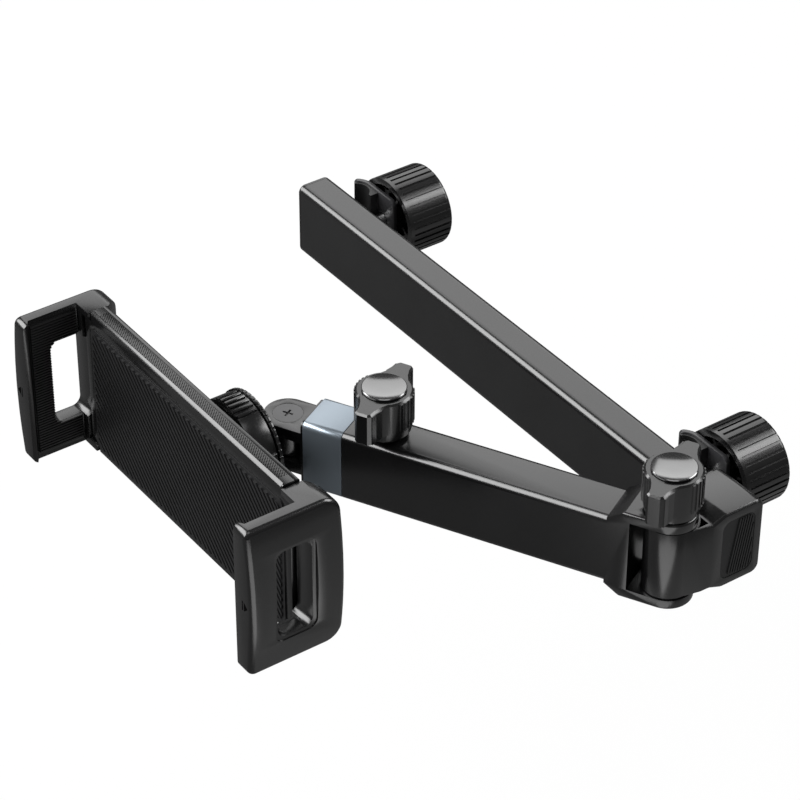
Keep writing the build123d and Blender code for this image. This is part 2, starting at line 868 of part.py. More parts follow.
def front_pad_outline(shrink):
    height = front_pad_top + front_pad_bottom
    middle = (front_pad_top - front_pad_bottom) / 2
    return Pos(0, middle) * RectangleRounded(
        front_pad_length - 2 * shrink, height - 2 * shrink, front_pad_corner)


def cover_screw_points():
    return [(side_x * cover_screw_x, side_z * cover_screw_z) for side_x in (-1, 1) for side_z in (-1, 1)]


def front_frame():
    half = frame_half_length
    shell = span_box((-half, half), (frame_front, frame_joint), (-frame_height / 2, frame_height / 2))
    front_edges = shell.faces().sort_by(Axis.Y)[0].edges().filter_by(Axis.X)
    shell = fillet(front_edges, frame_edge)
    tongue_x = half + tongue_length
    hollow = tongue_height / 2
    shell += span_box((-tongue_x, tongue_x), (frame_front, frame_joint), (-hollow, hollow))
    shell -= span_box((-tongue_x, tongue_x), (frame_front + frame_skin, frame_joint), (-hollow, hollow))
    rim = frame_height / 2 - hollow
    shell += span_box((half - rim, tongue_x), (frame_front, frame_joint), (hollow - frame_edge, hollow))
    shell += span_box((half - rim, tongue_x), (frame_front, frame_joint), (-hollow, frame_edge - hollow))
    shell += span_box((-tongue_x, rim - half), (frame_front, frame_joint), (hollow - frame_edge, hollow))
    shell += span_box((-tongue_x, rim - half), (frame_front, frame_joint), (-hollow, frame_edge - hollow))
    recess = extrude(Plane.XZ.offset(-front_pad_thickness) * front_pad_outline(0), front_pad_thickness)
    shell -= recess
    for x, z in cover_screw_points():
        post = along_y(cover_screw_head_radius, frame_front + frame_skin, frame_joint)
        shell += Pos(x, 0, z) * post
        shell -= Pos(x, 0, z) * along_y(cover_screw_radius + press_gap, frame_front + frame_skin, frame_joint)
    return shell - along_y(pin_radius + press_gap, front_pad_thickness, frame_joint)


def front_pad():
    back = face_gap - front_pad_thickness
    base = Plane.XZ.offset(back) * front_pad_outline(face_gap)
    ridges = ridge_field(
        front_pad_outline(front_pad_border), front_ridge_pitch, front_ridge_width, -front_ridge_angle)
    pad = extrude(base, -back - front_ridge_depth)
    return pad + extrude(Plane.XZ.offset(back) * ridges, -back)


def back_cover():
    half = frame_half_length
    plate = span_box((-half, half), (frame_joint + face_gap, frame_back), (-frame_height / 2, frame_height / 2))
    back_edges = plate.faces().sort_by(Axis.Y)[-1].edges().filter_by(Axis.X)
    plate = fillet(back_edges, frame_edge)
    boss = along_y(boss_radius, frame_joint + face_gap, boss_end)
    boss = chamfer(boss.faces().sort_by(Axis.Y)[-1].edges(), frame_edge)
    cover = plate + boss + along_y(neck_radius, frame_back, neck_end)
    cover -= Pos(0, ball_depth, 0) * Sphere(socket_radius)
    cover -= along_y(socket_radius, ball_depth, neck_end)
    cover -= along_y(spring_cavity_radius, frame_joint, frame_joint + spring_width + 4 * face_gap)
    cover -= along_y(pin_radius + press_gap, frame_joint, pin_end())
    for x, z in cover_screw_points():
        cover -= Pos(x, 0, z) * along_y(cover_screw_radius + press_gap, frame_joint, frame_back)
        cover -= Pos(x, 0, z) * along_y(
            cover_screw_head_radius + press_gap, frame_back - cover_screw_head_height, frame_back)
    return cover


def cover_screws():
    group = []
    for x, z in cover_screw_points():
        head = along_y(cover_screw_head_radius, frame_back - cover_screw_head_height, frame_back)
        shank = along_y(cover_screw_radius, frame_front + frame_skin + face_gap, frame_back)
        slot = span_box(
            (-cross_length / 2, cross_length / 2),
            (frame_back - cross_depth, frame_back),
            (-cross_width / 2, cross_width / 2),
        )
        group.append(Pos(x, 0, z) * (head + shank - slot - Rot(0, 90, 0) * slot))
    return Compound(children=group)


def pin_end():
    return frame_joint + spring_width + 8 * face_gap


def pinion_pin():
    return along_y(pin_radius, front_pad_thickness + face_gap, pin_end() - face_gap)


def involute_flank(base_radius, outer_radius, steps):
    """Radius and turned angle of points up one flank of a pinion tooth."""
    points = []
    for index in range(steps + 1):
        radius = base_radius + (outer_radius - base_radius) * index / steps
        ratio = min(1.0, base_radius / radius)
        unwound = sqrt(1 / ratio**2 - 1)
        points.append((radius, unwound - atan2(unwound, 1)))
    return points


def pinion():
    base = pinion_pitch_radius * cos(radians(pressure_angle))
    outer = pinion_pitch_radius + tooth_addendum
    root = pinion_pitch_radius - tooth_dedendum
    pitch_roll = tan(radians(pressure_angle)) - radians(pressure_angle)
    half_tooth = (pi * pinion_pitch_radius / pinion_teeth - tooth_backlash) / (2 * pinion_pitch_radius)
    flank = involute_flank(base, outer, 3)
    points = []
    for tooth in range(pinion_teeth):
        middle = 2 * pi * tooth / pinion_teeth
        half_base = half_tooth + pitch_roll
        points.append((root, middle - half_base))
        points += [(radius, middle - half_base + turned) for radius, turned in flank]
        points += [(radius, middle + half_base - turned) for radius, turned in reversed(flank)]
        points.append((root, middle + half_base))
    outline = make_face(Polyline(*[(r * cos(a), r * sin(a)) for r, a in points], close=True))
    teeth = extrude(Plane.XZ.offset(-rail_front - rail_thickness) * outline, rail_thickness)
    hub = along_y(pinion_hub_radius, rail_front, frame_joint + spring_width)
    return teeth + hub - along_y(pin_radius + face_gap, rail_front, frame_joint + spring_width)


def return_spring():
    """Flat spiral strip round the pinion's hub."""
    steps = 14
    inner = pinion_hub_radius + spring_strip
    growth = (spring_outer_radius - inner) / (spring_turns * steps)
    near = []
    far = []
    for index in range(spring_turns * steps + 1):
        angle = 2 * pi * index / steps
        radius = inner + growth * index
        near.append((radius * cos(angle), radius * sin(angle)))
        far.append(((radius + spring_strip) * cos(angle), (radius + spring_strip) * sin(angle)))
    outline = make_face(Polyline(*near, *reversed(far), close=True))
    low = frame_joint + 2 * face_gap
    return extrude(Plane.XZ.offset(-low - spring_width) * outline, spring_width)


def claw_shell():
    """Right claw without its rails."""
    bulged_x = claw_outer_x + claw_bulge
    lip_x = claw_inner_x - claw_lip_overhang
    plan = make_face(
        Polyline(
            (claw_seam, 0),
            (claw_wall_x, 0),
            (claw_wall_x, claw_lip_thickness - claw_lip_reach + claw_lip_overhang),
            (lip_x, claw_lip_thickness - claw_lip_reach),
            (lip_x, -claw_lip_reach),
            (bulged_x, -claw_lip_reach),
            (bulged_x, claw_back),
            (claw_seam + claw_wall, claw_back),
            (claw_seam, claw_back_at_seam),
            close=True,
        )
    )
    body = extrude(Plane.XY.offset(-claw_height / 2) * plan, claw_height)
    side = Pos((claw_back - claw_lip_reach) / 2, 0) * Rectangle(claw_back + claw_lip_reach, claw_height)
    back_corners = side.vertices().sort_by(Axis.X)[-2:]
    side = fillet(back_corners, claw_back_corner)
    front_corners = side.vertices().sort_by(Axis.X)[:2]
    side = fillet(front_corners, claw_front_corner)
    body &= extrude(Plane.YZ * side, 2 * bulged_x)
    half = claw_height / 2
    bow = Polyline((0, half), (0, -half), (claw_outer_x, -half))
    bow += ThreePointArc((claw_outer_x, -half), (bulged_x, 0), (claw_outer_x, half))
    bow += Line((claw_outer_x, half), (0, half))
    body &= extrude(Plane.XZ.offset(-claw_back) * make_face(bow), claw_back + claw_lip_reach)
    bowed = body.faces().sort_by(Axis.X)[-1]
    return fillet(bowed.edges(), claw_outer_edge)


def claw(side):
    """A claw with its guide rail and rack, the left one turned half round."""
    half_tongue = tongue_height / 2 + tongue_gap
    body = claw_shell()
    tongue_depth = (-claw_lip_reach, frame_joint + tongue_gap)
    body -= span_box((claw_seam, claw_base_x), tongue_depth, (-half_tongue, half_tongue))
    window = Pos(-window_center, 0) * RectangleRounded(window_width, window_height, window_corner)
    inner = Pos(-window_center, 0) * RectangleRounded(
        window_width - 2 * window_rim, window_height - 2 * window_rim, window_corner)
    reach = claw_outer_x + claw_bulge
    body -= extrude(Plane.YZ.offset(claw_outer_x + claw_bulge - window_rim_depth) * window, reach)
    body -= extrude(Plane.YZ.offset(claw_base_x) * inner, reach)
    pad = Pos((-claw_pad_front - claw_pad_back) / 2, 0) * Rectangle(
        claw_pad_front - claw_pad_back, claw_pad_height)
    pad_depth = claw_pad_thickness - claw_pad_recess
    body -= extrude(Plane.YZ.offset(claw_wall_x) * pad, pad_depth)
    rail_span = (rail_front, rail_front + rail_thickness)
    body += span_box((-rail_end, claw_base_x + face_gap), rail_span, (-guide_rail_outer, -guide_rail_inner))
    body += span_box((-rail_end, claw_base_x + face_gap), rail_span, (-rack_back, -rack_root))
    body += rack_teeth()
    return body if side > 0 else Rot(0, 180, 0) * body


def rack_teeth():
    pitch = 2 * pi * pinion_pitch_radius / pinion_teeth
    count = int((rail_end + pitch) // pitch)
    slope = tan(radians(pressure_angle))
    half = pitch / 4 - tooth_backlash / 2
    tip_half = half - tooth_addendum * slope
    root_half = half + tooth_dedendum * slope
    teeth = []
    for index in range(count):
        middle = pitch * (1.5 - index)
        if middle - root_half < -rail_end:
            continue
        outline = make_face(
            Polyline(
                (middle - root_half, -rack_root - face_gap),
                (middle + root_half, -rack_root - face_gap),
                (middle + root_half, -rack_root),
                (middle + tip_half, -rack_tip),
                (middle - tip_half, -rack_tip),
                (middle - root_half, -rack_root),
                close=True,
            )
        )
        teeth.append(extrude(Plane.XZ.offset(-rail_front - rail_thickness) * outline, rail_thickness))
    return teeth


def claw_pad(side):
    front = claw_pad_front - face_gap
    back = claw_pad_back + face_gap
    outline = Pos((-front - back) / 2, 0) * Rectangle(front - back, claw_pad_height - 2 * face_gap)
    outline -= Pos(-window_center, 0) * RectangleRounded(
        window_width - 2 * window_rim, window_height - 2 * window_rim, window_corner)
    ribs = ridge_field(outline, claw_rib_pitch, claw_rib_width, 0)
    base_x = claw_inner_x + claw_rib_depth
    pad = extrude(Plane.YZ.offset(base_x) * outline, claw_inner_x + claw_pad_thickness - face_gap - base_x)
    pad += extrude(Plane.YZ.offset(claw_inner_x) * ribs, claw_rib_depth + face_gap)
    return pad if side > 0 else Rot(0, 180, 0) * pad


lock_axis = Pos(-lock_from_hinge, 0, 0)
pivot_axis = Pos(-pivot_from_hinge, 0, 0)

parts = {
    "bar_tube": bar_tube(),
    "bar_end_cap": bar_end_cap(),
    "hinge_end_block": hinge_end_block(),
    "block_screws": block_screws(),
    "end_pad": end_pad(),
    "arm_tube": arm_place * arm_tube(),
    "hinge_bolt": arm_place * hinge_bolt(),
    "friction_washers": arm_place * friction_washers(),
    "top_washer": arm_place * top_washer(),
    "hinge_knob": arm_place * Pos(0, 0, hinge_knob_z) * wing_knob(hinge_bolt_radius + insert_wall + press_gap),
    "hinge_knob_cap": arm_place * Pos(0, 0, hinge_knob_z) * knob_cap(),
    "hinge_knob_insert": arm_place * threaded_insert(
        hinge_bolt_radius, hinge_knob_z, hinge_knob_z + insert_depth),
    "lock_insert": arm_place * lock_axis * threaded_insert(
        lock_screw_radius, arm_bore_height / 2, arm_height / 2 + lock_boss_height),
    "lock_knob": arm_place * lock_axis * Pos(0, 0, lock_knob_z) * wing_knob(lock_screw_radius + press_gap),
    "lock_knob_cap": arm_place * lock_axis * Pos(0, 0, lock_knob_z) * knob_cap(),
    "lock_screw": arm_place * lock_axis * lock_screw(),
    "inner_tube": arm_place * inner_tube(),
    "guide_bush": arm_place * guide_bush(),
    "arm_collar": arm_place * arm_collar(),
    "fork_head": arm_place * fork_head(),
    "pivot_screw": arm_place * pivot_axis * pivot_screw(),
    "pivot_nut": arm_place * pivot_axis * pivot_nut(),
    "knuckle": knuckle_place * knuckle(),
    "ball_seat": holder_place * ball_seat(),
    "seat_ring": holder_place * seat_ring(),
    "ring_nut": holder_place * ring_nut(),
    "lock_disc": holder_place * lock_disc(),
    "front_frame": holder_place * front_frame(),
    "front_pad": holder_place * front_pad(),
    "back_cover": holder_place * back_cover(),
    "cover_screws": holder_place * cover_screws(),
    "pinion": holder_place * pinion(),
    "pinion_pin": holder_place * pinion_pin(),
    "return_spring": holder_place * return_spring(),
    "right_claw": holder_place * claw(1),
    "left_claw": holder_place * claw(-1),
    "right_claw_pad": holder_place * claw_pad(1),
    "left_claw_pad": holder_place * claw_pad(-1),
}

for name, shift in (("left", 0), ("right", stud_spacing)):
    place = Pos(shift, 0, 0)
    parts[name + "_slide_nut"] = place * slide_nut()
    parts[name + "_stud"] = place * clamp_stud()
    parts[name + "_jaw"] = place * post_jaw()
    parts[name + "_jaw_pad"] = place * jaw_pad()
    parts[name + "_post_knob"] = place * knob_place * cup_knob()
    parts[name + "_knob_insert"] = place * knob_place * knob_insert()

for name, shape in parts.items():
    export_step(shape, os.path.join("parts", name + ".step"))
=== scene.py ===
import bpy
import bmesh
import json
from math import cos, pi, radians, sin
from mathutils import Matrix, Vector


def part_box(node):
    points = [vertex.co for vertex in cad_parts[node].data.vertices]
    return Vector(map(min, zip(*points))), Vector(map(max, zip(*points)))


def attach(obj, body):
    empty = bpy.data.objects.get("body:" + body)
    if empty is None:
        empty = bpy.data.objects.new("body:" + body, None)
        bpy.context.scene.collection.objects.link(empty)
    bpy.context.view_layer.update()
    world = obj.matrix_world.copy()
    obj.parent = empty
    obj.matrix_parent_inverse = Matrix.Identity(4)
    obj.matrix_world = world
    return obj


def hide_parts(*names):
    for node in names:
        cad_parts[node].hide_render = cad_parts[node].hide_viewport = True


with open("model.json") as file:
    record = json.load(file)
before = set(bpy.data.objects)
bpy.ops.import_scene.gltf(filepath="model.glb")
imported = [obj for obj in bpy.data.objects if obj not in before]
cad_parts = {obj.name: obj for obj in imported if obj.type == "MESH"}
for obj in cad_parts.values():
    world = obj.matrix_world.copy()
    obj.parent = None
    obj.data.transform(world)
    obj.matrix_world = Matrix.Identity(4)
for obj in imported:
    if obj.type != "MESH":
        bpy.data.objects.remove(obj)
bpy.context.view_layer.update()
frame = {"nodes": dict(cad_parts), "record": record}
nodes = frame["nodes"]
bodyOfNode = {name: body for body, names in frame["record"]["behaviour"]["bodies"].items() for name in names}
mm = 0.001
scene = bpy.context.scene
bpy.ops.object.select_all(action="DESELECT")
print("frame loaded:", len(nodes), "nodes")

# the photograph's camera: angles in degrees, its place in millimetres, how far it sees in metres
viewPoint = dict(azimuth=54.55, elevation=36.38, roll=0.19, lens=141.37, filmWidth=36, reach=30,
                 place=(752.52, -516.58, 592.69))
cameraTurn = (Matrix.Rotation(radians(viewPoint["azimuth"]), 4, "Z")
              @ Matrix.Rotation(radians(90 - viewPoint["elevation"]), 4, "X")
              @ Matrix.Rotation(radians(viewPoint["roll"]), 4, "Z"))
bpy.ops.object.camera_add(location=[v * mm for v in viewPoint["place"]], rotation=cameraTurn.to_euler())
camera = bpy.context.object
camera.data.lens = viewPoint["lens"]
camera.data.sensor_width = viewPoint["filmWidth"]
camera.data.clip_end = viewPoint["reach"]
scene.camera = camera
scene.view_settings.view_transform = "Standard"
print("camera set")


class Signal:
    # a shader socket that takes part in sums and feeds other nodes
    def __init__(self, tree, socket):
        self.tree = tree
        self.socket = socket

    def make(self, kind, settings=None, inputs=None, output=0):
        node = self.tree.nodes.new("ShaderNode" + kind)
        for key, value in (settings or {}).items():
            if key == "stops":
                for stop, (place, colour) in zip(node.color_ramp.elements, value):
                    stop.position = place
                    stop.color = (*colour, 1)
            else:
                setattr(node, key, value)
        for key, value in (inputs or {}).items():
            if isinstance(value, Signal):
                self.tree.links.new(value.socket, node.inputs[key])
            else:
                node.inputs[key].default_value = value
        return Signal(self.tree, node.outputs[output] if node.outputs else None)

    def sum(self, operation, first, second):
        return self.make("Math", {"operation": operation}, {0: first, 1: second})

    def __add__(self, other):
        return self.sum("ADD", self, other)

    __radd__ = __add__

    def __sub__(self, other):
        return self.sum("SUBTRACT", self, other)

    def __rsub__(self, other):
        return self.sum("SUBTRACT", other, self)

    def __mul__(self, other):
        return self.sum("MULTIPLY", self, other)

    __rmul__ = __mul__

    def __lt__(self, other):
        return self.sum("LESS_THAN", self, other)

    def __gt__(self, other):
        return self.sum("GREATER_THAN", self, other)

    def __abs__(self):
        return self.make("Math", {"operation": "ABSOLUTE"}, {0: self})


def newMaterial(name):
    material = bpy.data.materials.new(name)
    material.use_nodes = True
    tree = material.node_tree
    tree.nodes.clear()
    return material, Signal(tree, None)


def closeMaterial(start, surface):
    start.make("OutputMaterial", None, {"Surface": surface})


def grain(start, scale, detail):
    # smooth noise that stays fixed to the piece
    place = start.make("TexCoord", output="Object")
    return start.make("TexNoise", None, {"Vector": place, "Scale": scale, "Detail": detail})


# painted shade of the knurl's dimples, and the dark of the lip marks
dimpleShadeAndMarkColour = (0.003, 0.003, 0.003, 1)


def mouldedFinish(name, look, spots=None):
    # moulded, painted or metal surface: noise varies tone and gloss; dark matt spots are painted dimple shade
    # or print
    material, start = newMaterial(name)
    broad = grain(start, look["patch"], look["patchDetail"])
    fine = grain(start, look["grainScale"], look["grainDetail"])
    dark = [v * (1 - look["vary"]) for v in look["colour"]]
    light = [v * (1 + look["vary"]) for v in look["colour"]]
    stops = list(zip(look["patchEdges"], (dark, light)))
    colour = start.make("ValToRGB", {"stops": stops}, {"Fac": broad})
    roughness = look["roughness"] + look["roughVary"] * (fine - 0.5)
    bump = start.make("Bump", None, {
        "Strength": look["bump"], "Distance": look["bumpDepth"] * mm, "Height": fine})
    surface = start.make("BsdfPrincipled", None, {
        "Base Color": colour, "Roughness": roughness, "Metallic": look["metallic"],
        "Specular IOR Level": look["specular"], "Coat Weight": look["coat"],
        "Coat Roughness": look["coatRoughness"], "IOR": look["ior"], "Normal": bump})
    if spots:
        matt = start.make("BsdfDiffuse", None, {"Color": dimpleShadeAndMarkColour})
        surface = start.make("MixShader", None, {0: spots(start), 1: surface, 2: matt})
    closeMaterial(start, surface)
    return material


def ownPlace(start, middle):
    # where a point of the piece lies, in metres from a middle given in millimetres
    place = start.make("TexCoord", output="Object")
    return [start.make("SeparateXYZ", None, {0: place}, axis) - middle[axis] * mm for axis in range(3)]


def knurlDimpleShade(start):
    # painted shade: rows of small dark dimples in a strip along the frame's top and bottom faces
    along, across, up = ownPlace(start, knurl["middle"])
    wave = 2 * pi / (knurl["pitch"] * mm)
    rows = start.make("Math", {"operation": "SINE"}, {0: along * wave})
    columns = start.make("Math", {"operation": "SINE"}, {0: across * wave})
    inStrip = (abs(along) < knurl["length"] / 2 * mm) * (abs(across) < knurl["width"] / 2 * mm)
    return (rows * columns > knurl["share"]) * inStrip * (abs(up) > knurl["rise"] * mm)


def lipSpots(start):
    # a plain bar and triangle on the front of each claw's lip, pointing outwards
    along, across, up = ownPlace(start, lipMark["middle"])
    outward = abs(along) - lipMark["barPlace"] * mm
    toTip = (lipMark["gap"] + lipMark["reach"]) * mm - outward
    bar = (abs(outward) < lipMark["barWidth"] / 2 * mm) * (abs(up) < lipMark["halfHeight"] * mm)
    slope = lipMark["halfHeight"] / lipMark["reach"]
    triangle = (outward > lipMark["gap"] * mm) * (toTip * slope > abs(up))
    return (bar + triangle) * (across < lipMark["depth"] * mm)


plain = dict(colour=(0.004, 0.004, 0.0042), vary=0.25, patch=60, patchDetail=3.0, patchEdges=(0.3, 0.7),
             grainScale=1800, grainDetail=2.0, roughness=0.22, roughVary=0.06, bump=0.2, bumpDepth=0.02,
             metallic=0.0, specular=0.85, coat=0.0, coatRoughness=0.12, ior=1.5)
finishes = {
    "satinBlack": mouldedFinish("satinBlack", plain),
    "glossBlack": mouldedFinish("glossBlack", {**plain, "roughness": 0.16, "roughVary": 0.04, "bump": 0.1,
                                               "specular": 1.0, "coat": 1.0, "ior": 1.8}),
    "rubberBlack": mouldedFinish("rubberBlack", {**plain, "colour": (0.006, 0.006, 0.0064), "roughness": 0.46,
                                                 "bump": 0.4, "specular": 0.6}),
    "nylonDark": mouldedFinish("nylonDark", {**plain, "colour": (0.03, 0.03, 0.03), "roughness": 0.5}),
    "bluedMetal": mouldedFinish("bluedMetal", {**plain, "colour": (0.27, 0.315, 0.36), "vary": 0.05,
                                               "roughness": 0.28, "roughVary": 0.0, "metallic": 0.65,
                                               "bump": 0.0}),
    "brightSteel": mouldedFinish("brightSteel", {**plain, "colour": (0.6, 0.6, 0.6), "vary": 0.08,
                                                 "roughness": 0.25, "metallic": 1.0, "bump": 0.05}),
    "blackSteel": mouldedFinish("blackSteel", {**plain, "colour": (0.03, 0.03, 0.032), "roughness": 0.3}),
    "brass": mouldedFinish("brass", {**plain, "colour": (0.72, 0.52, 0.25), "vary": 0.08, "roughness": 0.3,
                                     "metallic": 1.0, "bump": 0.05}),
}
frameLow, frameHigh = (corner / mm for corner in map(Vector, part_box("front_frame")))
frameMiddle = (frameLow + frameHigh) / 2
knurl = dict(length=102, width=3.6, pitch=1.0, share=0.1, fromBack=2.0, skin=0.2)
knurl["middle"] = (frameMiddle.x, frameHigh.y - knurl["fromBack"], frameMiddle.z)
knurl["rise"] = frameHigh.z - frameMiddle.z - knurl["skin"]
clawLow, clawHigh = (corner / mm for corner in map(Vector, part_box("right_claw")))
lipMark = dict(barWidth=0.55, halfHeight=1.8, gap=0.75, reach=2.0, depth=0.3, fromEnd=4.8, drop=0.6)
lipMark["middle"] = (frameMiddle.x, clawLow.y, frameMiddle.z - lipMark["drop"])
lipMark["barPlace"] = clawHigh.x - frameMiddle.x - lipMark["fromEnd"]
# the frame's finish carries painted shade in its knurl's dimples; the claws' finish carries dark lip marks
finishes["blackWithKnurlShade"] = mouldedFinish("blackWithKnurlShade", plain, knurlDimpleShade)
finishes["markedBlack"] = mouldedFinish("markedBlack", plain, lipSpots)
slotFinish = {"black_plastic": "satinBlack", "gloss_cap": "glossBlack", "nylon": "nylonDark",
              "black_rubber": "rubberBlack", "blued_metal": "bluedMetal", "bright_steel": "brightSteel",
              "black_steel": "blackSteel", "brass": "brass"}
slotOfNode = {part["node"]: part["material_slot"] for part in frame["record"]["subparts"]}
print("finishes made:", len(finishes))


# how edges are treated: angles in degrees, the weld in millimetres
edgeLook = dict(segments=2, sharp=35, smooth=30, weld=0.001, flat=1.0)


def activate(piece):
    bpy.ops.object.select_all(action="DESELECT")
    piece.select_set(True)
    bpy.context.view_layer.objects.active = piece


def paint(piece, finish):
    piece.data.materials.clear()
    piece.data.materials.append(finishes[finish])


def bevelEdges(piece, width):
    bevel = piece.modifiers.new("edges", "BEVEL")
    bevel.width = width * mm
    bevel.segments = edgeLook["segments"]
    bevel.limit_method = "ANGLE"
    bevel.angle_limit = radians(edgeLook["sharp"])
    bevel.use_clamp_overlap = True
    activate(piece)
    bpy.ops.object.modifier_apply(modifier=bevel.name)


def smoothFaces(piece, angle=edgeLook["smooth"]):
    activate(piece)
    bpy.ops.object.shade_smooth_by_angle(angle=radians(angle))


def easedCopy(name, width, finish=None):
    # a copy of a CAD node with its sharp edges eased, in the node's place
    node = nodes[name]
    piece = bpy.data.objects.new(name + "Eased", node.data.copy())
    scene.collection.objects.link(piece)
    activate(piece)
    bpy.ops.object.mode_set(mode="EDIT")
    bpy.ops.mesh.select_all(action="SELECT")
    bpy.ops.mesh.remove_doubles(threshold=edgeLook["weld"] * mm)
    bpy.ops.mesh.dissolve_limited(angle_limit=radians(edgeLook["flat"]))
    bpy.ops.object.mode_set(mode="OBJECT")
    bpy.ops.mesh.customdata_custom_splitnormals_clear()
    bevelEdges(piece, width)
    smoothFaces(piece)
    paint(piece, finish or slotFinish[slotOfNode[name]])
    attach(piece, bodyOfNode[name])
    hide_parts(name)


easing = {"hinge_end_block": 0.3, "arm_tube": 0.3, "arm_collar": 0.25, "fork_head": 0.3,
          "right_claw": 0.35, "left_claw": 0.35, "front_frame": 0.2, "back_cover": 0.25,
          "ring_nut": 0.15, "lock_disc": 0.12, "bar_end_cap": 0.15, "left_jaw": 0.2, "right_jaw": 0.2}
# pieces whose finish adds painted knurl shade (frame) or dark lip marks (claws)
nodesWithShadeOrMarks = {"front_frame": "blackWithKnurlShade", "right_claw": "markedBlack", "left_claw": "markedBlack"}
for name, node in nodes.items():
    paint(node, slotFinish[slotOfNode[name]])
for name, width in easing.items():
    easedCopy(name, width, nodesWithShadeOrMarks.get(name))
print("edges eased:", len(easing))


# how much of a unit normal counts as facing one way and as halfway to it, and what touches, in millimetres
facing = 0.9
halfway = 0.5
touching = 0.01


def pickFaces(piece, wanted):
    # in edit mode, selects the faces whose middle in millimetres and normal are wanted
    mesh = bmesh.from_edit_mesh(piece.data)
    bpy.ops.mesh.select_all(action="DESELECT")
    for face in mesh.faces:
        if wanted(face.calc_center_median() / mm, face.normal):
            face.select_set(True)
    bmesh.update_edit_mesh(piece.data)


def pickEdges(piece, wanted):
    # in edit mode, selects the edges whose middle in millimetres, direction and faces are wanted
    mesh = bmesh.from_edit_mesh(piece.data)
    bpy.ops.mesh.select_all(action="DESELECT")
    for edge in mesh.edges:
        start, end = (corner.co / mm for corner in edge.verts)
        if wanted((start + end) / 2, (end - start).normalized(), edge.link_faces):
            edge.select_set(True)
    bmesh.update_edit_mesh(piece.data)


def startRound(name, radius, low, high, sides):
    # a round blank in edit mode, from one height to another, with its origin at zero
    bpy.ops.object.select_all(action="DESELECT")
    bpy.ops.mesh.primitive_cylinder_add(vertices=sides, radius=radius * mm, depth=(high - low) * mm,
                                        location=(0, 0, (high + low) / 2 * mm))
    piece = bpy.context.object
    piece.name = name
    bpy.ops.object.transform_apply(location=True, rotation=True, scale=True)
    bpy.ops.object.mode_set(mode="EDIT")
    bpy.ops.mesh.select_mode(type="FACE")
    return piece


def standIn(piece, node, place, turn):
    # puts a finished piece where the node is and lets it take the node's part
    bpy.ops.object.mode_set(mode="OBJECT")
    activate(piece)
    piece.rotation_euler.z = radians(turn)
    piece.location = place
    bpy.ops.object.transform_apply(location=True, rotation=True, scale=True)
    paint(piece, slotFinish[slotOfNode[node]])
    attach(piece, bodyOfNode[node])
    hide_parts(node)


# the arm's two wing knobs: a round hub, flared wings flush with its top, ridges and a dished cap
# lengths are in millimetres and angles in degrees
wingKnob = dict(radius=9.0, sides=72, height=14.0, skirt=3.0, skirtTaper=0.94, wingAngle=35, turn=28.0,
                wingSteps=((9.6, 3.9), (12.0, 3.1), (15.0, 2.7)), tipCorner=0.9, topEdge=0.6,
                ridges=7, ridgePitch=10, ridgeStart=-27.5, ridge=0.35, ridgeMatch=0.02, upright=0.1,
                slack=0.1, push=0.1, wingZone=0.8, tipFacing=0.999, smooth=27)
knobCap = dict(neck=6.7, neckHeight=0.3, radius=7.05, wall=0.45, lip=0.25, lipRise=0.15,
               sink=0.05, step=0.02,
               dish=((0.6, 0.16), (1.2, 0.26), (1.2, 0.19), (1.2, 0.12), (1.2, 0.06)))


def shapeWings(piece, look):
    # two wings drawn out of the hub's side, wide at the root and narrow at the tip
    for side in (1, -1):
        pickFaces(piece, lambda middle, normal: middle.z > look["skirt"] and abs(normal.z) < halfway
                  and side * normal.y > cos(radians(look["wingAngle"])))
        wide = look["radius"] * sin(radians(look["wingAngle"]))
        outward = (0, side * look["push"] * mm, 0)
        for reach, half in look["wingSteps"]:
            bpy.ops.mesh.extrude_region_move(TRANSFORM_OT_translate={"value": outward})
            bpy.ops.transform.resize(value=(half / wide, 0, 1), center_override=(0, side * reach * mm, 0))
            wide = half
    pickFaces(piece, lambda middle, normal: middle.z > look["height"] - touching)
    bpy.ops.mesh.dissolve_faces()
    pickFaces(piece, lambda middle, normal: abs(middle.y) > look["radius"] * look["wingZone"]
              and (normal.z < -facing or abs(normal.y) > look["tipFacing"]))
    bpy.ops.mesh.dissolve_limited(angle_limit=radians(edgeLook["flat"]))
    bpy.ops.mesh.select_all(action="SELECT")
    bpy.ops.mesh.dissolve_limited(angle_limit=radians(edgeLook["flat"]))


def shapedKnob(node, place):
    look = wingKnob
    piece = startRound(node + "Shaped", look["radius"], look["skirt"], look["height"], look["sides"])
    pickFaces(piece, lambda middle, normal: normal.z < -facing)
    bpy.ops.mesh.extrude_region_move(TRANSFORM_OT_translate={"value": (0, 0, -look["skirt"] * mm)})
    bpy.ops.transform.resize(value=(look["skirtTaper"], look["skirtTaper"], 1), center_override=(0, 0, 0))
    shapeWings(piece, look)
    tip = look["wingSteps"][-1][0] - look["slack"]
    bpy.ops.mesh.select_mode(type="EDGE")
    pickEdges(piece, lambda middle, along, faces: abs(middle.y) > tip and abs(along.z) > facing)
    bpy.ops.mesh.bevel(offset=look["tipCorner"] * mm, segments=1, affect="EDGES")
    pickEdges(piece, lambda middle, along, faces: middle.z > look["height"] - touching and len(faces) == 2
              and min(face.normal.z for face in faces) < halfway)
    bpy.ops.mesh.bevel(offset=look["topEdge"] * mm, segments=1, affect="EDGES")
    bpy.ops.mesh.select_mode(type="FACE")
    angles = [radians(look["ridgeStart"] + look["ridgePitch"] * step) for step in range(look["ridges"])]
    pickFaces(piece, lambda middle, normal: middle.z > look["skirt"] and abs(normal.z) < look["upright"]
              and middle.xy.length > look["radius"] - look["slack"] and abs(normal.x) > halfway
              and any(abs(normal.y * (1 if normal.x > 0 else -1) - sin(angle)) < look["ridgeMatch"]
                      for angle in angles))
    bpy.ops.mesh.extrude_faces_move(TRANSFORM_OT_shrink_fatten={"value": look["ridge"] * mm})
    standIn(piece, node, place, look["turn"])
    smoothFaces(piece, look["smooth"])


